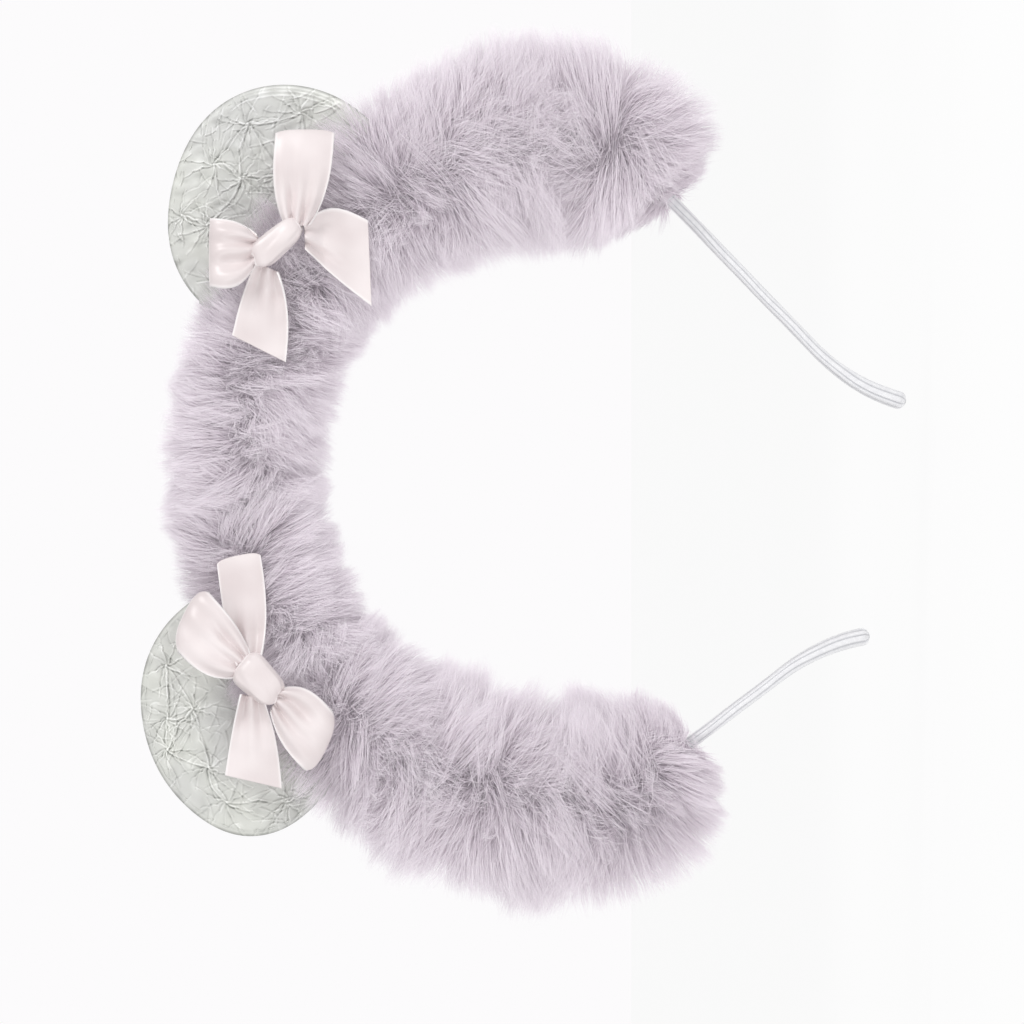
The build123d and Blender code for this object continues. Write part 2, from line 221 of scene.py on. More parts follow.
def srgb(*colour):
    """Red, green and blue from 0-255 screen values, as the shader's linear numbers."""
    screen = np.array(colour) / 255.0
    linear = np.where(screen <= 0.04045, screen / 12.92, ((screen + 0.055) / 1.055) ** 2.4)
    return (*linear.tolist(), 1.0)


# Where a Mix node keeps its factor, its two colours and its mixed colour
MIX_INPUTS, MIX_OUTPUT = (0, 6, 7), 2


class Shader:
    """A node material built up from short calls."""

    def __init__(self, name, **constants):
        self.material = bpy.data.materials.new(name)
        self.material.use_nodes = True
        self.tree = self.material.node_tree
        self.principled = self.tree.nodes["Principled BSDF"]
        for socket, value in constants.items():
            self.principled.inputs[socket.replace("_", " ")].default_value = value

    def node(self, kind, **settings):
        made = self.tree.nodes.new("ShaderNode" + kind)
        for key, value in settings.items():
            if key in made.inputs:
                made.inputs[key].default_value = value
            else:
                setattr(made, key, value)
        return made

    def link(self, source, target):
        self.tree.links.new(source, target)

    def place(self):
        """The object's own coordinates, so that a pattern stays on the piece."""
        return self.node("TexCoord").outputs["Object"]

    def noise(self, scale, detail=3.0, vector=None):
        texture = self.node("TexNoise", Scale=scale, Detail=detail)
        self.link(vector or self.place(), texture.inputs["Vector"])
        return texture.outputs["Fac"]

    def number(self, label):
        return self.node("Attribute", attribute_name=label).outputs["Fac"]

    def ramp(self, value, *stops):
        """Colours by value; each stop is (position, colour)."""
        ramp = self.node("ValToRGB")
        elements = ramp.color_ramp.elements
        while len(elements) < len(stops):
            elements.new(0.5)
        for element, (position, colour) in zip(elements, stops):
            element.position = position
            element.color = colour
        self.link(value, ramp.inputs["Fac"])
        return ramp.outputs["Color"]

    def mix(self, first, second, share, how="MIX"):
        """Blends two colours; each input is a constant or another node's output."""
        mixed = self.node("Mix", data_type="RGBA", blend_type=how)
        for place, value in zip(MIX_INPUTS, (share, first, second)):
            if isinstance(value, (tuple, float)):
                mixed.inputs[place].default_value = value
            else:
                self.link(value, mixed.inputs[place])
        return mixed.outputs[MIX_OUTPUT]

    def colour(self, source):
        self.link(source, self.principled.inputs["Base Color"])

    def tint(self, source, cloud, dark, light):
        """Colours the surface, unevenly by a cloud of two pale tints."""
        tints = self.ramp(cloud, (0.35, dark), (0.65, light))
        self.colour(self.mix(source, tints, 1.0, "MULTIPLY"))

    def bump(self, height, strength, distance):
        bump = self.node("Bump", Strength=strength, Distance=distance)
        self.link(height, bump.inputs["Height"])
        self.link(bump.outputs["Normal"], self.principled.inputs["Normal"])


# Stands in for the light that pale hairs pass on to one another
FUR_GLOW = 0.055
FUR_ROOT = srgb(207, 201, 207)
FUR_MIDDLE = srgb(228, 221, 227)
FUR_TIP = srgb(250, 247, 250)


def fur_material():
    """Pale lavender hair, darker at the roots; u tells the strands apart and v runs root to tip."""
    shader = Shader("lavender_fur", Roughness=0.75, Sheen_Weight=0.25, Sheen_Roughness=0.5,
                    Specular_IOR_Level=0.2, Emission_Strength=FUR_GLOW)
    place = shader.node("UVMap", uv_map="OFBake").outputs["UV"]
    split = shader.node("SeparateXYZ")
    shader.link(place, split.inputs["Vector"])
    length = shader.ramp(split.outputs["Y"], (0.0, FUR_ROOT), (0.4, FUR_MIDDLE), (1.0, FUR_TIP))
    shader.tint(length, shader.noise(60.0, 1.0, place), srgb(238, 231, 238), srgb(255, 254, 254))
    return shader.material


def grained(shader, scale, dark, light, relief_scale, strength, depth):
    """Mottles a material by one noise and roughens it by another."""
    shader.colour(shader.ramp(shader.noise(scale), (0.3, dark), (0.7, light)))
    shader.bump(shader.noise(relief_scale), strength, depth)
    return shader.material


def knit_material():
    """The knitted backing under the pile."""
    shader = Shader("knit_backing", Roughness=0.9, Specular_IOR_Level=0.15)
    return grained(shader, 900.0, srgb(205, 196, 203), srgb(222, 214, 220), 1400.0, 0.4, 0.2 * MM)


def ear_material():
    """Pale crinkled satin, with a painted highlight on the ridges and grey painted shade in the creases."""
    shader = Shader("ear_satin", Roughness=0.42, Sheen_Weight=0.1, Sheen_Roughness=0.4,
                    Specular_IOR_Level=0.5)
    # Painted light: grey for shade in the creases, near white for a highlight on the ridges, the satin's own
    # tone between
    crease, ridge = (0.0, srgb(156, 157, 152)), (0.95, srgb(252, 253, 248))
    flat = (0.42, srgb(209, 210, 204)), (0.58, srgb(214, 215, 209))
    shade = shader.ramp(shader.number("relief"), crease, *flat, ridge)
    shader.tint(shade, shader.noise(70.0), srgb(243, 242, 246), srgb(252, 252, 252))
    shader.bump(shader.noise(1500.0, 4.0), 0.35, 0.15 * MM)
    return shader.material


def satin_shader(name, roughness):
    """Satin's sheen and fine weave, not yet coloured."""
    shader = Shader(name, Roughness=roughness, Sheen_Weight=0.15, Sheen_Roughness=0.35,
                    Specular_IOR_Level=0.5)
    shader.bump(shader.noise(5000.0, 2.0), 0.12, 0.05 * MM)
    return shader


def satin_material(name, body, light, edge):
    """Ribbon satin with a bright selvedge."""
    shader = satin_shader(name, 0.33)
    cloud = shader.ramp(shader.noise(110.0, 1.0), (0.3, body), (0.7, light))
    shader.colour(shader.mix(cloud, edge, shader.number("selvedge")))
    return shader.material


def cover_material():
    """White satin wrapped round the band, with grey painted shade down in its lengthwise creases."""
    shader = satin_shader("cover_satin", 0.38)
    # Painted shade: greyer where the relief number marks a crease
    crease_shade = shader.ramp(shader.number("relief"), (0.35, srgb(196, 197, 201)), (0.95, srgb(238, 238, 240)))
    shader.tint(crease_shade, shader.noise(900.0), srgb(246, 246, 247), srgb(255, 255, 255))
    return shader.material


def plain_cloth(name, dark, light, scale):
    shader = Shader(name, Roughness=0.8, Specular_IOR_Level=0.25)
    return grained(shader, scale, dark, light, scale, 0.4, 0.1 * MM)


def steel_material():
    shader = Shader("spring_steel", Roughness=0.3, Metallic=1.0)
    return grained(shader, 300.0, srgb(120, 122, 126), srgb(176, 178, 182), 2500.0, 0.15, 0.05 * MM)


FUR = fur_material()
KNIT = knit_material()
EAR_SATIN = ear_material()
PINK_SATIN = satin_material("pink_satin", srgb(219, 208, 208), srgb(234, 225, 225), srgb(252, 248, 248))
WHITE_SATIN = satin_material("white_satin", srgb(222, 222, 224), srgb(232, 232, 234), srgb(244, 244, 246))
COVER_SATIN = cover_material()
THREAD = plain_cloth("thread", srgb(205, 200, 206), srgb(236, 232, 238), 4000.0)
EAR_THREAD = plain_cloth("ear_thread", srgb(206, 207, 202), srgb(228, 229, 224), 4000.0)
WADDING = plain_cloth("wadding", srgb(225, 222, 226), srgb(245, 243, 246), 500.0)
STEEL = steel_material()


# ---- the fur

SKIN_RADIUS = (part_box("backing_crown")[1].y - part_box("backing_crown")[0].y) / 2
# At its mouth the knit is drawn in flat round the band
SKIN_TAPER, TAPER_POWER = 6 * MM, 1.5
MOUTH_HALF_WIDTH, MOUTH_HALF_DEPTH = 4.2 * MM, 2.0 * MM
GATHER_RADIUS = 0.4 * MM
CROWN_HAIR, ARM_HAIR = 13.5 * MM, 20.5 * MM
CROWN_HAIR_END, ARM_HAIR_START = 40 * MM, 92 * MM
HAIRS_PER_SQUARE_MM = 10.0
HAIR_WIDTH, THINNEST_HAIR, THICKNESS_SPREAD = 0.2 * MM, 0.75, 0.5
HAIR_TIP_WIDTH, HAIR_TWIST, SHADE_BREADTH = 0.25, 1.2, 0.04
HAIR_STEPS = 4
STEP = np.linspace(0.0, 1.0, HAIR_STEPS + 1)[None, :, None]
# Shares of the full hair length; a few guard hairs are longer
SHORTEST_HAIR, HAIR_SPREAD, SHORTEST_GUIDE, GUIDE_SPREAD = 0.72, 0.4, 0.8, 0.4
GUARD_HAIR_FROM, GUARD_HAIR_EXTRA = 0.93, 0.25
CURL, CURL_TURN, CURL_PHASE = 1.1 * MM, 5.0, 6.0
# Wisps, tufts and locks: how far apart they stand, how hard they pull, how much they differ
CLUMPS = ((1.1 * MM, 0.55, 0.7), (2.4 * MM, 0.42, 0.9), (5.5 * MM, 0.28, 0.85))
CLUMP_POWER = 1.3
PARTING_SOFTNESS, PARTING_WANDER, PARTING_JITTER = 0.45, 0.3, 1.6
# Hair is cut shorter at the ends of the sleeve
END_TRIM, TRIM_START, TRIM_END = 0.55, -10 * MM, 4 * MM
# Angles from straight up: least, more at the front and back, jitter; then the share of the skew
Lean = namedtuple("Lean", "least facing jitter skew")
ROOT_LEAN, TIP_LEAN = Lean(0.58, 0.3, 0.35, 0.5), Lean(1.15, 0.38, 0.4, 1.2)
SKEW_DRIFT, SKEW_JITTER, PARTING_SKEW = 0.3, 0.8, 0.9
ARM_SKEW, ARM_SKEW_START, ARM_SKEW_END = 0.12, 50 * MM, 90 * MM
FAN_SKEW, FAN_START, FAN_END = 0.08, -14 * MM, 6 * MM
FLEX_HALF = 15 * MM
FLEX_START, FLEX_END = FLEX_DISTANCE - FLEX_HALF, FLEX_DISTANCE + FLEX_HALF
GUIDE_ROWS, GUIDE_COLUMNS = 257, 131
table_draw = np.random.default_rng(SEED)
GUIDE_TABLE = table_draw.random((GUIDE_ROWS, GUIDE_COLUMNS, 6))
WAVE_TABLE = table_draw.random((10, 5))


def past_end(distance):
    """How far past the sleeve's full width a place on the band lies; negative within it."""
    return np.abs(distance) - np.where(distance < 0, sleeve_end("right"), sleeve_end("left"))


def skin_point(distance, turn, proud=0.0):
    """Places on the backing, which is round along the sleeve and gathered in flat at both ends."""
    place, _, outward = band_at(distance)
    taper = np.clip(past_end(distance) / SKIN_TAPER, 0.0, 1.0)[..., None] ** TAPER_POWER
    wide = SKIN_RADIUS + (MOUTH_HALF_WIDTH - SKIN_RADIUS) * taper + proud
    deep = SKIN_RADIUS + (MOUTH_HALF_DEPTH - SKIN_RADIUS) * taper + proud
    return place - ACROSS * np.cos(turn) * wide + outward * np.sin(turn) * deep


def drift(distance, turn, layer):
    """A slow random wave over the sleeve, about -1 to 1. Each layer is a different one."""
    total = 0.0
    for wave in WAVE_TABLE:
        length = (18.0 + 50.0 * wave[0]) * MM
        along = 2 * pi * (distance / length + wave[3] * layer)
        total = total + np.sin(along + 2.0 * turn * (wave[1] - 0.5) + 9.0 * wave[2])
    return total / len(WAVE_TABLE) ** 0.5


def nearest_guide(distance, turn, pitch):
    """The nearest of a jittered grid of guide roots, and that guide's random numbers."""
    row = np.floor(distance / pitch).astype(int)
    column = np.floor(turn * SKIN_RADIUS / pitch).astype(int)
    best = np.full(len(distance), np.inf)
    found = np.zeros((len(distance), 2 + GUIDE_TABLE.shape[2]))
    for down in (-1, 0, 1):
        for over in (-1, 0, 1):
            numbers = GUIDE_TABLE[(row + down) % GUIDE_ROWS, (column + over) % GUIDE_COLUMNS]
            guide_distance = (row + down + numbers[:, 0]) * pitch
            guide_turn = (column + over + numbers[:, 1]) * pitch / SKIN_RADIUS
            away = (guide_distance - distance) ** 2 + ((guide_turn - turn) * SKIN_RADIUS) ** 2
            nearer = away < best
            best = np.where(nearer, away, best)
            here = np.column_stack([guide_distance, guide_turn, numbers])
            found = np.where(nearer[:, None], here, found)
    return found[:, 0], found[:, 1], found[:, 2:]


def hair_length(distance, spread):
    """Short on the crown, long on the arms and trimmed at the sleeve's ends."""
    reach = smooth(CROWN_HAIR_END, ARM_HAIR_START, np.abs(distance))
    trimmed = 1 - END_TRIM * smooth(TRIM_START, TRIM_END, past_end(distance))
    return (CROWN_HAIR + (ARM_HAIR - CROWN_HAIR) * reach) * trimmed * spread


def round_band(outward, turn):
    """The direction out of the sleeve at a turn round it: 0 is the front, a quarter turn is outward."""
    return -ACROSS * np.cos(turn) + outward * np.sin(turn)


def hair_skew(distance, turn, parted, jitter):
    """How far hairs lean along the band: freely at the parting, and towards the tips on the arms."""
    own = (SKEW_JITTER + PARTING_SKEW * (1 - parted ** 2)) * jitter
    on_arm = ARM_SKEW * smooth(ARM_SKEW_START, ARM_SKEW_END, np.abs(distance))[:, None]
    fan = FAN_SKEW * smooth(FAN_START, FAN_END, past_end(distance))[:, None]
    slow = SKEW_DRIFT * drift(distance, turn, 1.0)[:, None]
    return slow + own + np.sign(distance)[:, None] * (on_arm + fan)


def hair_lines(distance, turn, spread, lean_jitter, skew_jitter):
    """Points along each hair, combed from the front centre line round to both sides."""
    _, along, outward = band_at(distance)
    around, skew_jitter = turn[:, None], skew_jitter[:, None]
    normal = round_band(outward, around)
    parting = PARTING_WANDER * drift(distance, turn, 2.0)[:, None] + PARTING_JITTER * skew_jitter
    parted = np.tanh((around - parting * (np.cos(around) > 0)) / PARTING_SOFTNESS)
    sideways = parted * (ACROSS * np.sin(around) + outward * np.cos(around))
    skew = hair_skew(distance, turn, parted, skew_jitter)
    ways = []
    for lean in (ROOT_LEAN, TIP_LEAN):
        angle = lean.least + lean.facing * np.cos(around) ** 2 + lean.jitter * lean_jitter[:, None]
        way = normal * np.cos(angle) + sideways * np.sin(angle) + along * skew * lean.skew
        ways.append(unit(way)[:, None])
    reach = ways[0] * (STEP - STEP ** 2 / 2) + ways[1] * STEP ** 2 / 2
    length = hair_length(distance, spread)[:, None, None]
    return skin_point(distance, around)[:, None] + length * reach


def tufted_hairs(distance, turn, draw):
    """Hairs drawn together towards wisps, and wisps towards tufts."""
    count = len(distance)
    own = draw.random((count, 3))
    spread = SHORTEST_HAIR + HAIR_SPREAD * own[:, 0] + GUARD_HAIR_EXTRA * (own[:, 1] > GUARD_HAIR_FROM)
    lines = hair_lines(distance, turn, spread, own[:, 1] - 0.5, own[:, 2] - 0.5)
    for pitch, pull, stray in CLUMPS:
        guide_distance, guide_turn, numbers = nearest_guide(distance, turn, pitch)
        spread = SHORTEST_GUIDE + GUIDE_SPREAD * numbers[:, 2]
        jitters = stray * (numbers[:, 3] - 0.5), stray * (numbers[:, 4] - 0.5)
        guides = hair_lines(guide_distance, guide_turn, spread, *jitters)
        lines = lines + (guides - lines) * pull * STEP ** CLUMP_POWER
    wave = np.sin(STEP * CURL_TURN + CURL_PHASE * own[:, :1, None])
    return lines + (draw.random((count, 1, 3)) - 0.5) * wave * STEP * CURL


def hair_ribbons(lines, normal, draw):
    """Each hair as a tapered ribbon of triangles whose flat side faces roughly out of the sleeve."""
    count, steps = lines.shape[0], HAIR_STEPS
    facing = normal[:, None] + (draw.random((count, 1, 3)) - 0.5) * HAIR_TWIST
    side = unit(np.cross(unit(np.gradient(lines, axis=1)), facing))
    taper = np.linspace(1.0, HAIR_TIP_WIDTH, steps)[None, :, None]
    width = HAIR_WIDTH * (THINNEST_HAIR + THICKNESS_SPREAD * draw.random((count, 1, 1)))
    half = side[:, :-1] * taper * width / 2
    left, right = lines[:, :-1] - half, lines[:, :-1] + half
    points = np.concatenate([np.stack([left, right], 2).reshape(count, 2 * steps, 3), lines[:, -1:]], 1)
    strip = grid_triangles(steps, 2, closed_columns=False)[:, ::-1]
    strip = np.concatenate([strip, [(2 * steps - 2, 2 * steps - 1, 2 * steps)]])
    triangles = np.arange(count)[:, None, None] * (2 * steps + 1) + strip
    shade = draw.random(count) * (1 - SHADE_BREADTH)
    across = np.append(np.tile([0.0, SHADE_BREADTH], steps), SHADE_BREADTH / 2)
    lengthwise = np.append(np.repeat(np.arange(steps) / steps, 2), 1.0)
    uv = np.stack([shade[:, None] + across[None], np.broadcast_to(lengthwise, (count, 2 * steps + 1))], -1)
    return points.reshape(-1, 3), triangles.reshape(-1, 3), uv.reshape(-1, 2)


# ---- frames of the ears and bows

EAR_RADIUS = 27.5 * MM
EAR_CENTRE_RISE = 3.1 * MM
EAR_BASE = -3.0 * MM
EAR_HALF = 3.0 * MM
EAR_RIM_HALF = 0.9 * MM


def facing_out(triangles, side):
    """Turns the triangles round on the right side, which is mirrored."""
    return triangles[:, ::-1] if side == "right" else triangles


def ear_frame(side):
    """The ear's centre, and its directions along the band and away from the head."""
    hinge = np.array(JOINTS[f"ear_{side}_tilt"]["pos_m"])
    outward = unit((hinge - HOOP_CENTRE) * (1.0, 0.0, 1.0))
    along = SIDES[side] * np.array([outward[2], 0.0, -outward[0]])
    return hinge + outward * EAR_CENTRE_RISE, along, outward


# A ribbon runs from its pinch beside the knot to a far edge between two corners: a loop's fold or a
# tail's cut.  Places are millimetres from the knot, sideways then up; bulges push its two sides out.
Ribbon = namedtuple("Ribbon", "name start first second bulges lean rounding")
Bow = namedtuple("Bow", "side knot_direction knot_size knot_taper loops tails")
LEFT_BOW = Bow(
    "left", -50.0, (13.0, 6.2), 0.12,
    (
        Ribbon("outer_loop", (3.6, -4.6), (23.9, 0.1), (23.9, -12.6), (1.6, 1.7), 1.2, 0.03),
        Ribbon("upper_loop", (-1.2, 4.2), (-9.6, 14.5), (5.2, 14.4), (3.2, 1.3), 0.8, 0.02),
    ),
    (
        Ribbon("lower_tail", (-5.5, 2.0), (-26.3, -2.0), (-20.4, 9.8), (1.6, 0.7), -2.9, 0.0),
        Ribbon("inner_tail", (1.0, -6.2), (4.8, -20.0), (-14.0, -20.8), (3.4, 0.6), -2.4, 0.0),
    ),
)
RIGHT_BOW = Bow(
    "right", 135.0, (11.5, 8.2), -0.14,
    (
        Ribbon("upper_loop", (-3.2, 3.2), (-19.7, 11.8), (-6.8, 18.2), (1.2, 2.6), 1.0, 0.12),
        Ribbon("lower_loop", (4.4, -3.6), (7.6, -16.4), (20.0, -10.4), (2.4, 1.8), 0.6, 0.12),
    ),
    (
        Ribbon("inner_tail", (-3.6, 2.4), (-27.6, -0.2), (-25.6, 9.4), (1.4, 0.7), -2.9, 0.03),
        Ribbon("outer_tail", (3.6, 1.6), (20.9, 7.6), (23.8, -4.9), (0.3, 1.0), -2.4, 0.0),
    ),
)
BOWS = (LEFT_BOW, RIGHT_BOW)


def corners(ribbon):
    """The pinch and the far edge's two ends, in millimetres."""
    return [np.array(place) for place in (ribbon.start, ribbon.first, ribbon.second)]


def bow_centre(bow):
    low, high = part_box(f"bow_{bow.side}_knot")
    return np.array((low + high) / 2)


def in_bow_face(bow, sideways, up):
    """A direction given in the bow's face, for the right bow mirrored."""
    return np.array([SIDES[bow.side] * sideways, 0.0, up])


# ---- fur pieces

BOW_PRESS, BOW_MARGIN = 0.5 * MM, 1.0 * MM
# An ear needs more room further up, because it tilts
EAR_ROOM, TILT_ROOM = 1.4 * MM, 0.45
BAND_RUN, BAND_ROOM, MOUTH_SOFTNESS = 12 * MM, 2.2 * MM, 2 * MM


def press_under_bows(points):
    """Hair behind a ribbon lies flat under it."""
    for bow in BOWS:
        place = (points - bow_centre(bow))[..., ::2] * (SIDES[bow.side], 1.0)
        for ribbon in (*bow.loops, *bow.tails):
            start, first, second = (corner * MM for corner in corners(ribbon))
            end = (first + second) / 2
            length, half = np.linalg.norm(end - start), np.linalg.norm(second - first) / 2
            way = (end - start) / length
            reach, aside = (place - start) @ way, np.abs((place - start) @ (-way[1], way[0]))
            under = (reach > 0) & (reach < length + BOW_MARGIN) & (aside < half + BOW_MARGIN)
            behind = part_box(f"bow_{bow.side}_{ribbon.name}")[1].y + BOW_PRESS
            points[..., 1] = np.where(under, np.maximum(points[..., 1], behind), points[..., 1])
    return points


def part_round_ears(points):
    """Hair that would run through an ear passes in front of it or behind it."""
    for side in SIDES:
        centre, along, outward = ear_frame(side)
        offset = points - centre
        aside, height = offset @ along, offset @ outward
        inside = (aside ** 2 + height ** 2 < (EAR_RADIUS + EAR_ROOM) ** 2) & (height > EAR_BASE)
        room = EAR_HALF + EAR_ROOM + TILT_ROOM * np.maximum(height - EAR_BASE, 0.0)
        way = np.where(points[:, :1, 1] < centre[1], -1.0, 1.0)
        clear = np.maximum(way * (points[..., 1] - centre[1]), room)
        points[..., 1] = np.where(inside, centre[1] + way * clear, points[..., 1])
    return points


def part_round_band(points):
    """Hair at the sleeve's mouth lies to either side of the band that comes out of it."""
    for side, sign in SIDES.items():
        mouth = sleeve_end(side) + SKIN_TAPER
        start, further = band_at(sign * np.array([mouth, mouth + BAND_RUN]))[0]
        run = unit(further - start)
        square = np.cross(run, ACROSS)
        past, aside = (points - start) @ run, (points - start) @ square
        room = BAND_ROOM * smooth(-MOUTH_SOFTNESS, MOUTH_SOFTNESS, past)
        clear = np.where(aside < 0, -1.0, 1.0) * np.maximum(np.abs(aside), room)
        points += (clear - aside)[..., None] * square
    return points


def fur_piece(name, start, end, seed):
    """All the hair rooted on one stretch of the sleeve."""
    draw = np.random.default_rng(SEED + seed)
    area = abs(end - start) * 2 * pi * SKIN_RADIUS / MM ** 2
    count = int(area * HAIRS_PER_SQUARE_MM)
    distance = start + (end - start) * draw.random(count)
    turn = pi * (2 * draw.random(count) - 1)
    lines = tufted_hairs(distance, turn, draw)
    lines = part_round_band(part_round_ears(press_under_bows(lines)))
    normal = round_band(band_at(distance)[2], turn[:, None])
    points, triangles, uv = hair_ribbons(lines, normal, draw)
    fur = mesh_object(name, points, triangles, FUR, uv=uv)
    return fur


KNIT_STEP, KNIT_COLUMNS = 1.2 * MM, 64
RIBS, KNIT_RIB = 16, 0.12 * MM
TWISTS, TWIST_DEPTH = 24, 0.15
CROWN_PIECES, FLEX_PIECES, ARM_PIECES = 6, 2, 3


def knit_piece(name, start, end):
    """The knitted tube that the hair grows from, on the same stretch."""
    rows = max(3, int(abs(end - start) / KNIT_STEP))
    distance = np.linspace(start, end, rows)
    around = np.tile(circle(KNIT_COLUMNS), rows)[:, None]
    points = skin_point(np.repeat(distance, KNIT_COLUMNS), around, KNIT_RIB * np.cos(RIBS * around))
    knit = mesh_object(name, points, grid_triangles(rows, KNIT_COLUMNS), KNIT)
    return knit


def gather_ring(side):
    """The thread pulled tight round the sleeve's mouth."""
    mouth = SIDES[side] * (sleeve_end(side) + SKIN_TAPER)
    around = np.repeat(circle(KNIT_COLUMNS), STITCH_SIDES)[:, None]
    section = np.tile(circle(STITCH_SIDES), KNIT_COLUMNS)[:, None]
    twist = 1 + TWIST_DEPTH * np.cos(2 * section + TWISTS * around)
    proud = GATHER_RADIUS * (1 + twist * np.cos(section))
    along = band_at(np.array([mouth]))[1]
    points = skin_point(np.full(len(around), mouth), around, proud)
    points = points + along * GATHER_RADIUS * twist * np.sin(section)
    triangles = grid_triangles(KNIT_COLUMNS, STITCH_SIDES, closed_rows=True)
    ring = mesh_object(f"gather_ring_{side}", points, triangles, THREAD)
    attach(ring, f"arm_{side}")
    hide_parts(f"gather_thread_{side}")


def bend_at_flex(piece):
    """Bakes a piece's placement into its points; the piece stays where it is built."""
    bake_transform(piece)


def fur_run(name, start, end, pieces, seed):
    """Fur along a stretch, in several pieces."""
    stops = np.linspace(start, end, pieces + 1)
    stretches = enumerate(zip(stops[:-1], stops[1:]))
    return [fur_piece(f"{name}_{part + 1}", *ends, seed + part) for part, ends in stretches]


def build_sleeve():
    knit = knit_piece("knit_crown", -FLEX_START, FLEX_START)
    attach(knit, "crown")
    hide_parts("backing_crown")
    furs = fur_run("fur_crown", -FLEX_START, FLEX_START, CROWN_PIECES, 0)
    for fur in furs:
        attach(fur, "crown")
    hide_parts("pile_crown")
    build_sleeve_side("left", 10)
    build_sleeve_side("right", 20)


def build_sleeve_side(side, seed):
    sign, mouth = SIDES[side], sleeve_end(side) + SKIN_TAPER
    knit = knit_piece(f"knit_flex_{side}", sign * FLEX_START, sign * FLEX_END)
    furs = fur_run(f"fur_flex_{side}", sign * FLEX_START, sign * FLEX_END, FLEX_PIECES, seed)
    for piece in (knit, *furs):
        bend_at_flex(piece)
    knit = knit_piece(f"knit_arm_{side}", sign * FLEX_END, sign * mouth)
    furs = fur_run(f"fur_arm_{side}", sign * FLEX_END, sign * mouth, ARM_PIECES, seed + 5)
    for piece in (knit, *furs):
        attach(piece, f"arm_{side}")
    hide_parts(f"backing_arm_{side}")
    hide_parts(f"pile_arm_{side}")


# ---- the ears

EAR_ROWS, FRONT_COLUMNS, BACK_COLUMNS = 190, 350, 170
POLE_GAP = 0.004
DOME_POWER, EDGE_SHARE = 0.8, 0.05
# Where the crinkles meet, in ear radii along the band and away from the head
STARS = {
    "left": ((-0.1, 0.7), (0.67, 0.4), (0.34, 0.67), (-0.04, 0.44), (-0.53, 0.39), (-0.62, 0.62), (0.2, 0.2)),
    "right": (
        (-0.38, 0.69), (-0.17, 0.84), (0.15, 0.63), (0.44, 0.65), (-0.32, 0.47), (0.76, 0.29), (-0.72, 0.42),
    ),
}
# Each ear's edge is drawn in, or let out, by a share of the radius about a direction in radians
DENTS = {
    "left": ((0.105, 2.05, 0.75),),
    "right": ((0.045, 2.0, 0.6), (-0.055, 0.8, 0.4), (0.12, -0.05, 0.4)),
}
SEAMS = {"left": 0.04 * MM, "right": 0.08 * MM}
STITCH_RING, SEAM_WIDTH = 0.96, 0.012
STITCH_PITCH, STITCH_SHARE, STITCH_MARGIN = 3.4 * MM, 0.6, 0.25
STITCH_RADIUS, STITCH_SINK = 0.13 * MM, 0.1 * MM
STITCH_STEPS, STITCH_SIDES = 9, 8
RAYS, RAY_PARTS = 9, 3
RAY_LENGTH, RAY_WANDER, RAY_FADE = 7.5 * MM, 0.5, 0.22
LINK_REACH, LINK_WANDER = 0.5 * EAR_RADIUS, 3 * MM
LOOSE_VEINS, LOOSE_LENGTH, LOOSE_STRENGTH = 170, 5 * MM, 0.6
VEIN_HEIGHT, VEIN_WIDTH, VEIN_BEND = 0.23 * MM, 0.18 * MM, 0.25 * MM
# A groove's depth is in ridge heights and its distance from the ridge in ridge widths
GROOVE_DEPTH, GROOVE_PLACE = 0.85, 1.7
LOWEST_RELIEF, HIGHEST_RELIEF, RELIEF_RANGE = -1.6, 1.8, 3.2
PUCKER, PUCKER_WAVES = 0.08 * MM, 14
RIM_FOLDS = (0.90, 0.935, 0.965)
FOLD_HEIGHT, FOLD_WIDTH, FOLD_SLOPE = 1.1, 0.011, 0.02
# Towards the rim the crinkles flatten; the very edge is shaded
CALM_START, CALM_RELIEF = 0.93, 0.25
RIM_SHADE, RIM_SHADE_START = 0.35, 0.975


def heading(turn):
    return np.array([cos(turn), sin(turn)])


def vein_lines(side):
    """Short straight crinkles: rays from each star, links between near stars and loose ones."""
    draw = np.random.default_rng(SEED + int(SIDES[side]) + 5)
    stars = np.array(STARS[side]) * EAR_RADIUS
    lines = []
    for star in stars:
        first = draw.random() * 2 * pi
        for ray in range(RAYS):
            turn = first + 2 * pi * (ray + 0.5 * draw.random()) / RAYS
            place = star
            for part in range(RAY_PARTS):
                turn += RAY_WANDER * (draw.random() - 0.5)
                further = place + RAY_LENGTH * (0.2 + 0.25 * draw.random()) * heading(turn)
                lines.append((*place, *further, 1.0 - RAY_FADE * part))
                place = further
    for index, star in enumerate(stars):
        for other in stars[index + 1:]:
            if np.linalg.norm(other - star) < LINK_REACH:
                middle = (star + other) / 2 + (draw.random(2) - 0.5) * LINK_WANDER
                lines += [(*star, *middle, 1.0), (*middle, *other, 1.0)]
    for _ in range(LOOSE_VEINS):
        turn, reach = pi * draw.random(), EAR_RADIUS * draw.random() ** 0.5
        place = reach * heading(turn)
        way = heading(2 * pi * draw.random())
        further = place + LOOSE_LENGTH * (0.4 + draw.random()) * way
        lines.append((*place, *further, LOOSE_STRENGTH))
    return lines


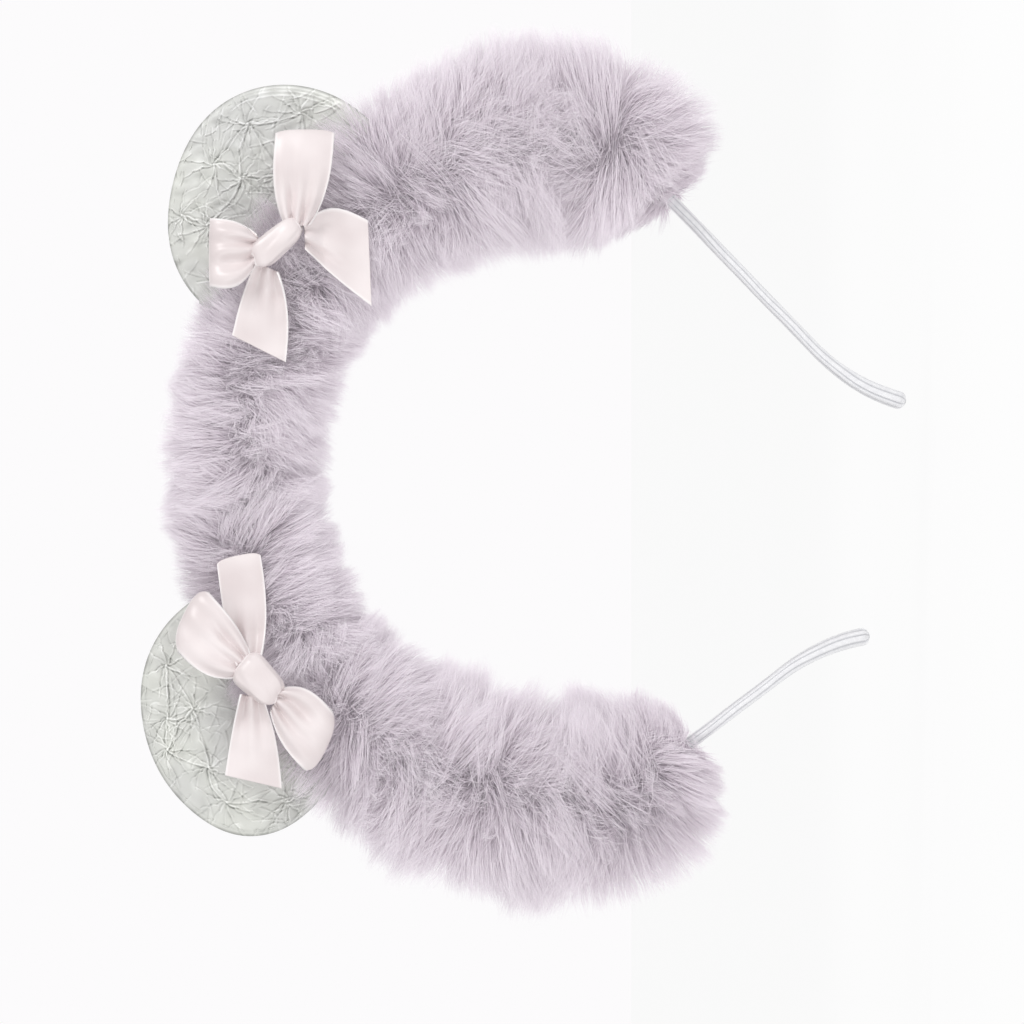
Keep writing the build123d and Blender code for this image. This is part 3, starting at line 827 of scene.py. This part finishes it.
def crinkle(x, y, side):
    """Height of the crinkled satin over a flat ear: each vein is a ridge with a groove beside it."""
    height = np.zeros_like(x)
    for x0, y0, x1, y1, strength in vein_lines(side):
        run = np.array([x1 - x0, y1 - y0])
        length = np.linalg.norm(run)
        run = run / length
        along = ((x - x0) * run[0] + (y - y0) * run[1]) / length
        aside = -(x - x0) * run[1] + (y - y0) * run[0]
        past = np.clip(np.abs(along - 0.5) - 0.5, 0.0, None) * length
        from_ridge = aside - VEIN_BEND * np.sin(pi * np.clip(along, 0.0, 1.0))
        from_groove = from_ridge - GROOVE_PLACE * VEIN_WIDTH
        fade = bell(past, VEIN_WIDTH)
        ridge = bell(from_ridge, VEIN_WIDTH)
        groove = GROOVE_DEPTH * bell(from_groove, VEIN_WIDTH)
        height += VEIN_HEIGHT * strength * fade * (ridge - groove)
    return np.clip(height, LOWEST_RELIEF * VEIN_HEIGHT, HIGHEST_RELIEF * VEIN_HEIGHT)


def pucker(x, y, draw):
    """Soft unevenness of the cloth between the crinkles."""
    total = np.zeros_like(x)
    for _ in range(PUCKER_WAVES):
        turn = pi * draw.random()
        length = (2.2 + 5.0 * draw.random()) * MM
        phase = 2 * pi * draw.random()
        total += np.sin(2 * pi * (x * cos(turn) + y * sin(turn)) / length + phase)
    return PUCKER * total / PUCKER_WAVES ** 0.5


def rim_folds(x, y):
    """Gathers that run beside the rim, on the side towards the arm."""
    reach, turn = np.hypot(x, y) / EAR_RADIUS, np.arctan2(y, x)
    share = smooth(0.02, 0.3, turn) * (1 - smooth(0.9, 1.25, turn))
    total = np.zeros_like(x)
    for radius in RIM_FOLDS:
        total += bell(reach - radius - FOLD_SLOPE * turn, FOLD_WIDTH)
    return VEIN_HEIGHT * FOLD_HEIGHT * total * share


def ear_grid():
    """Places over the ear: columns run round from the front face to the back one."""
    lowest = asin(EAR_BASE / EAR_RADIUS)
    row = np.linspace(lowest, pi / 2 - POLE_GAP, EAR_ROWS)[:, None]
    front = np.linspace(0, pi, FRONT_COLUMNS, endpoint=False)
    back = np.linspace(pi, 2 * pi, BACK_COLUMNS, endpoint=False)
    column = np.append(front, back)[None]
    y = EAR_RADIUS * np.sin(row) + 0 * column
    x = EAR_RADIUS * np.cos(row) * np.cos(column)
    face = np.sign(np.sin(column)) + 0 * row
    return x, y, face


def outline(x, y, side):
    """How much of the full radius the ear reaches in each direction: its edge isn't quite round."""
    turn = np.arctan2(y, x)
    return 1 - sum(dent * bell(turn - middle, spread) for dent, middle, spread in DENTS[side])


def ear_thickness(x, y):
    """Half the ear's thickness: domed over the filling and closed round its edge."""
    reach = np.clip(np.hypot(x, y) / EAR_RADIUS, 0.0, 1.0)
    dome = EAR_RIM_HALF + (EAR_HALF - EAR_RIM_HALF) * (1 - reach ** 2) ** DOME_POWER
    edge = np.clip((1 - reach) / EDGE_SHARE, 0.0, 1.0)
    return dome * np.sqrt(1 - (1 - edge) ** 2)


def on_ear(side, x, y, depth):
    """Points from places over a round flat ear and depths in front of its middle."""
    centre, along, outward = ear_frame(side)
    drawn_in = outline(x, y, side)
    place = centre + (x * drawn_in)[..., None] * along + (y * drawn_in)[..., None] * outward
    return (place - depth[..., None] * ACROSS).reshape(-1, 3)


def rim_stitches(side):
    """Dashes of thread on the front face, just inside the rim."""
    spacing = STITCH_PITCH / (STITCH_RING * EAR_RADIUS)
    starts = np.arange(STITCH_MARGIN, pi - STITCH_MARGIN, spacing)
    run = np.linspace(0.0, STITCH_SHARE, STITCH_STEPS)
    ring = circle(STITCH_SIDES)
    turn = starts[:, None, None] + spacing * run[None, :, None]
    dip = np.sin(pi * run / STITCH_SHARE)[None, :, None]
    radius = STITCH_RADIUS * (0.3 + 0.7 * dip)
    reach = STITCH_RING * EAR_RADIUS + radius * np.cos(ring)
    x, y = reach * np.cos(turn), reach * np.sin(turn)
    depth = ear_thickness(x, y) - STITCH_SINK + STITCH_RADIUS * dip + radius * np.sin(ring)
    dash = grid_triangles(STITCH_STEPS, STITCH_SIDES)
    triangles = np.arange(len(starts))[:, None, None] * STITCH_STEPS * STITCH_SIDES + dash[None]
    points = on_ear(side, x, y, depth)
    stitches = mesh_object(f"ear_{side}_rim_stitches", points, triangles.reshape(-1, 3), EAR_THREAD)
    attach(stitches, f"ear_{side}")
    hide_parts(f"ear_{side}_edge_stitching")


def build_ear(side):
    """A domed, crinkled pad in one piece, front and back."""
    x, y, face = ear_grid()
    reach = np.hypot(x, y) / EAR_RADIUS
    draw = np.random.default_rng(SEED + int(SIDES[side]) + 50)
    relief = crinkle(x, y, side) + pucker(x, y, draw)
    if side == "left":
        relief = relief + rim_folds(x, y) * (face > 0)
    inner = 1 - smooth(CALM_START, 1.0, reach)
    seam = -SEAMS[side] * bell(reach - STITCH_RING, SEAM_WIDTH)
    depth = face * (ear_thickness(x, y) + relief * (CALM_RELIEF + (1 - CALM_RELIEF) * inner) + seam)
    triangles = facing_out(grid_triangles(*x.shape), side)
    # Painted shade in grooves, hollows and the seam, and painted highlight on ridges, by height
    shade = 0.5 + (relief + seam) / (RELIEF_RANGE * VEIN_HEIGHT)
    # Painted shade at the very edge
    shade = np.clip(shade - RIM_SHADE * smooth(RIM_SHADE_START, 1.0, reach), 0.0, 1.0)
    points = on_ear(side, x, y, depth)
    ear = mesh_object(f"ear_{side}_satin", points, triangles, EAR_SATIN, values={"relief": shade.ravel()})
    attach(ear, f"ear_{side}")
    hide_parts(f"ear_{side}_front_panel", f"ear_{side}_back_panel", f"ear_{side}_filling")


# ---- the bows

RIBBON, SELVEDGE_EXTRA, SELVEDGE_WIDTH = 0.3 * MM, 0.25 * MM, 0.05
NARROWEST_RIBBON, PINCH = 10.5 * MM, 5.0 * MM
LOOP_ALONG, TAIL_ALONG = 120, 60
RIBBON_ACROSS = np.linspace(-1, 1, 41)[None]
PLEAT_HEIGHT, PLEAT_REACH, PLEAT_POWER = 0.95 * MM, 9.0 * MM, 1.6
LOOP_HALF_DEPTH, LOOP_GAP, LOOP_FLAT_SHARE = 2.9 * MM, 0.03, 2.1
# The hollow pressed into each loop: how deep, how far out from the knot and across, and how large
DENT, DENT_PLACE, DENT_ACROSS, DENT_LENGTH, DENT_BREADTH = 1.2 * MM, 6.0 * MM, -0.25, 2.6 * MM, 0.2
TAIL_WAVE, TAIL_SETTLE = 0.8 * MM, 0.3
KNOT_ROWS, KNOT_COLUMNS = 90, 96
KNOT_END, KNOT_SQUARENESS, KNOT_SEAM = 0.12, 0.35, 0.95


def pleats(reach, count, phase):
    """Creases that fan out of the knot and die away."""
    fade = np.exp(-(reach / PLEAT_REACH) ** PLEAT_POWER)
    return PLEAT_HEIGHT * fade * np.cos(count * pi * RIBBON_ACROSS + phase)


def ribbon_points(bow, ribbon, share, depth):
    """Places on a ribbon: share runs from the pinch to the far edge."""
    start, first, second = (corner * MM for corner in corners(ribbon))
    edge_way = (second - first) / np.linalg.norm(second - first)
    share, across = np.broadcast_arrays(share, RIBBON_ACROSS)
    share = share * (1 + ribbon.rounding * (1 - np.abs(across) ** 3 - np.abs(across) ** 14 / 2))
    bulge = np.where(across < 0, *ribbon.bulges) * MM * np.sin(pi * share ** 0.8) * across
    pinched = across * PINCH / 2 * (1 - share) + bulge
    far = (first + second) / 2 * share[..., None] + (second - first) / 2 * (across * share)[..., None]
    flat = start * (1 - share[..., None]) + far + pinched[..., None] * edge_way
    return bow_centre(bow) + np.stack([SIDES[bow.side] * flat[..., 0], -depth, flat[..., 1]], -1)


def ribbon_length(ribbon):
    start, first, second = corners(ribbon)
    return float(np.linalg.norm((first + second) / 2 - start)) * MM


def finish_ribbon(bow, ribbon, middle):
    """Gives a ribbon its thickness and its thicker selvedges."""
    across = np.broadcast_to(RIBBON_ACROSS, middle.shape[:2])
    selvedge = bell(1 - np.abs(across), SELVEDGE_WIDTH)
    thickness = RIBBON + SELVEDGE_EXTRA * selvedge
    body = f"bow_{bow.side}"
    name = f"{body}_{ribbon.name}"
    piece = sheet_from_grid(f"{name}_ribbon", middle, thickness, PINK_SATIN, {"selvedge": selvedge})
    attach(piece, body)
    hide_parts(name)


def loop_ribbon(bow, loop):
    """A ribbon out from the knot, over a soft fold and back behind itself."""
    turn = np.linspace(LOOP_GAP, 2 * pi - LOOP_GAP, LOOP_ALONG)[:, None]
    share = (1 - np.cos(turn)) / 2
    reach = share * ribbon_length(loop)
    bulge = np.sin(turn) * (0.45 + 0.55 * share) * (1 - 0.25 * RIBBON_ACROSS ** 2)
    crease = pleats(reach, 3.0, 0.6) * np.sign(np.sin(turn))
    dent = bell(reach - DENT_PLACE, DENT_LENGTH) * bell(RIBBON_ACROSS - DENT_ACROSS, DENT_BREADTH)
    depth = LOOP_HALF_DEPTH * bulge + crease - DENT * dent * np.sin(turn) - loop.lean * MM * share ** 2
    middle = ribbon_points(bow, loop, share, depth)
    finish_ribbon(bow, loop, middle)


def tail_ribbon(bow, tail):
    """A ribbon end with a slanting cut, lying on the fur."""
    share = np.linspace(0.0, 1.0, TAIL_ALONG)[:, None]
    settle = tail.lean * MM * smooth(0.0, TAIL_SETTLE, share)
    wave = TAIL_WAVE * (np.sin(1.4 * pi * share + 0.8) + 0.5 * RIBBON_ACROSS * np.sin(2.2 * share)) * share
    depth = settle + wave + pleats(share * ribbon_length(tail), 2.0, 0.4)
    middle = ribbon_points(bow, tail, share, depth)
    finish_ribbon(bow, tail, middle)


def knot_roll(bow):
    """The knot: a ribbon wrapped round the pinch, rounded, with creases along it."""
    length, width = (size * MM for size in bow.knot_size)
    turned = radians(bow.knot_direction)
    along = in_bow_face(bow, cos(turned), sin(turned))
    aside = in_bow_face(bow, -sin(turned), cos(turned))
    low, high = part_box(f"bow_{bow.side}_knot")
    row = np.linspace(-1, 1, KNOT_ROWS)[:, None]
    turn = circle(KNOT_COLUMNS)[None]
    shoulder = (1 - np.abs(row) ** 5) ** 0.5
    crease = 1 - 0.05 * np.cos(2.5 * turn + 1.2 * row) ** 6 - 0.012 * np.cos(9 * turn - 2.0 * row)
    size = (KNOT_END + (1 - KNOT_END) * shoulder) * crease * (1 - bow.knot_taper * row) * (np.abs(row) < 1)
    square = np.maximum(np.abs(np.cos(turn)), np.abs(np.sin(turn))) ** -KNOT_SQUARENESS
    side = size * square * np.cos(turn) * width / 2
    rise = size * square * np.sin(turn) * (high.y - low.y) / 2
    run = row * length / 2 * (1 + 0.03 * np.cos(3 * turn)) + 0.3 * MM * np.sin(2 * turn)
    points = bow_centre(bow) + run[..., None] * along + side[..., None] * aside - rise[..., None] * ACROSS
    seam = bell(np.abs(row) - KNOT_SEAM, 0.02) + 0 * turn
    triangles = facing_out(grid_triangles(KNOT_ROWS, KNOT_COLUMNS), bow.side)
    knot = mesh_object(f"bow_{bow.side}_knot_roll", points.reshape(-1, 3), triangles, PINK_SATIN,
                       values={"selvedge": seam.ravel()})
    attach(knot, f"bow_{bow.side}")
    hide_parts(f"bow_{bow.side}_knot")


def build_bow(bow):
    knot_roll(bow)
    for loop in bow.loops:
        loop_ribbon(bow, loop)
    for tail in bow.tails:
        tail_ribbon(bow, tail)


# ---- the bare ends of the band

COVER_HALF_WIDTH, COVER_HALF_DEPTH = 4.0 * MM, 1.35 * MM
CAP_HALF_WIDTH, CAP_HALF_DEPTH = 4.9 * MM, 1.95 * MM
CAP_LENGTH = 26 * MM
CREASE_DEPTH, CREASE_WIDTH = 0.22 * MM, 0.1
COVER_CREASES = (0.5, 2.0, 2.62, 3.5, 4.1, 5.6)
COVER_STEP, COVER_COLUMNS = 0.6 * MM, 72
COVER_START, PAST_TIP, TIP_ROUNDING = FLEX_DISTANCE + 4 * MM, 1.2 * MM, 1.6 * MM
COVER_SQUARENESS = 2.6


def band_cover(side):
    """The satin wrapped round the band, and its folded end over the tip."""
    end = tip_distance(side) + PAST_TIP
    distance = np.append(np.arange(COVER_START, end, COVER_STEP), end)
    turn = circle(COVER_COLUMNS)[None]
    place, _, outward = band_at(SIDES[side] * distance)
    to_tip = (end - distance)[:, None]
    cap = 1 - smooth(0.0, CAP_LENGTH, to_tip)
    closing = np.sqrt(np.clip(1 - (1 - np.clip(to_tip / TIP_ROUNDING, 0.0, 1.0)) ** 2, 0.05, 1.0))
    half_width = COVER_HALF_WIDTH + (CAP_HALF_WIDTH - COVER_HALF_WIDTH) * cap
    half_depth = COVER_HALF_DEPTH + (CAP_HALF_DEPTH - COVER_HALF_DEPTH) * cap
    corner = np.abs(np.cos(turn)) ** COVER_SQUARENESS + np.abs(np.sin(turn)) ** COVER_SQUARENESS
    square = corner ** (-1 / COVER_SQUARENESS)
    wander = 0.1 * np.sin(distance[:, None] / (7 * MM)) + 0.06 * np.sin(distance[:, None] / (2.3 * MM))
    crease = sum(bell(turn + wander - line, CREASE_WIDTH) for line in COVER_CREASES)
    fold = CREASE_DEPTH * (0.4 * np.cos(3 * turn + 4 * wander) - crease * (1 + cap))
    wide = (half_width * square * closing + fold) * np.cos(turn)
    deep = (half_depth * square * closing + fold) * np.sin(turn)
    points = place[:, None] + wide[..., None] * ACROSS + deep[..., None] * outward[:, None]
    last = np.arange(COVER_COLUMNS) + (len(distance) - 1) * COVER_COLUMNS
    lid = np.stack([last, np.roll(last, -1), np.full(COVER_COLUMNS, crease.size)], -1)
    triangles = grid_triangles(len(distance), COVER_COLUMNS)
    points = np.concatenate([points.reshape(-1, 3), points[-1].mean(0)[None]])
    # The relief number marks the creases for the cover's painted shade
    cover = mesh_object(f"band_cover_{side}", points, np.concatenate([triangles, lid]), COVER_SATIN,
                        values={"relief": np.append(1 - 0.6 * crease.ravel(), 1.0)})
    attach(cover, f"arm_{side}")
    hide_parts(f"cover_arm_{side}", f"tip_cap_{side}")


# ---- CAD parts that stay

def dress_frame():
    """Gives every CAD part that is still shown its own material."""
    looks = {"band_": STEEL, "wadding": WADDING, "cover": WHITE_SATIN, "base_roll": EAR_SATIN, "": THREAD}
    for name, node in frame["nodes"].items():
        look = next(material for key, material in looks.items() if key in name)
        node.data.materials.clear()
        node.data.materials.append(look)


# ---- stage, light and camera

MIDDLE = (cad_low + cad_high) / 2
VIEW_WIDTH = 1.24 * (cad_high.x - cad_low.x)
VIEW_OFFSET = (-9.2 * MM, 2.3 * MM)
LENS, SENSOR, FURTHEST = 500.0, 36.0, 60.0
# The floor lies low enough for the arms, which dip as they spring open
FLOOR_HALF, FLOOR_GAP, FLOOR_GLOW = 8.0, 6 * MM, 0.915
SURROUND_GLOW = 0.56
WHITE = (1.0, 1.0, 1.0, 1.0)


def make_camera():
    """Looks straight at the front, turned so that the wearer's left is up."""
    data = bpy.data.cameras.new("camera")
    data.lens = LENS
    data.sensor_width = SENSOR
    camera = add_object("camera", data)
    distance = VIEW_WIDTH * LENS / SENSOR
    camera.location = (MIDDLE.x + VIEW_OFFSET[0], -distance, MIDDLE.z + VIEW_OFFSET[1])
    camera.rotation_euler = (pi / 2, pi / 2, 0.0)
    data.clip_end = FURTHEST
    bpy.context.scene.camera = camera


def make_floor():
    """A glowing white floor that meets the surround without a line."""
    shader = Shader("floor", Roughness=0.9, Specular_IOR_Level=0.0, Emission_Strength=FLOOR_GLOW,
                    Emission_Color=WHITE)
    shader.colour(shader.ramp(shader.noise(3.0), (0.3, srgb(72, 72, 72)), (0.7, srgb(74, 73, 74))))
    places = np.array([(-1, -1, 0), (1, -1, 0), (1, 1, 0), (-1, 1, 0)]) * FLOOR_HALF
    places = places + (0, 0, cad_low.z - FLOOR_GAP)
    floor = mesh_object("floor", places, np.array([(0, 1, 2), (0, 2, 3)]), shader.material)


def make_world():
    """A near-white surround that lights everything softly."""
    world = bpy.data.worlds.new("studio")
    bpy.context.scene.world = world
    world.use_nodes = True
    nodes, link = world.node_tree.nodes, world.node_tree.links.new
    nodes.clear()
    output = nodes.new("ShaderNodeOutputWorld")
    rays = nodes.new("ShaderNodeLightPath")
    choice = nodes.new("ShaderNodeMixShader")
    link(rays.outputs["Is Camera Ray"], choice.inputs["Fac"])
    link(choice.outputs["Shader"], output.inputs["Surface"])
    for place, (colour, glow) in enumerate(((WHITE, SURROUND_GLOW), (srgb(252, 251, 252), 1.0))):
        background = nodes.new("ShaderNodeBackground")
        background.inputs["Color"].default_value = colour
        background.inputs["Strength"].default_value = glow
        link(background.outputs["Background"], choice.inputs[place + 1])


def area_light(name, place, size, power):
    data = bpy.data.lights.new(name, "AREA")
    data.size = size
    data.energy = power
    light = add_object(name, data)
    light.location = place
    light.rotation_mode = "QUATERNION"
    light.rotation_quaternion = (MIDDLE - light.location).to_track_quat("-Z", "Y")


def make_lights():
    area_light("key", (0.55, -0.55, 0.45), 0.35, 3.4)
    area_light("fill", (-0.6, -0.7, 0.1), 0.6, 2.2)
    area_light("back", (0.0, 0.8, 0.5), 0.6, 1.6)


make_camera()
make_world()
make_floor()
make_lights()
bpy.context.scene.view_settings.view_transform = "Standard"
dress_frame()
build_sleeve()
for ear_side in SIDES:
    build_ear(ear_side)
    rim_stitches(ear_side)
    band_cover(ear_side)
    gather_ring(ear_side)
for one_bow in BOWS:
    build_bow(one_bow)
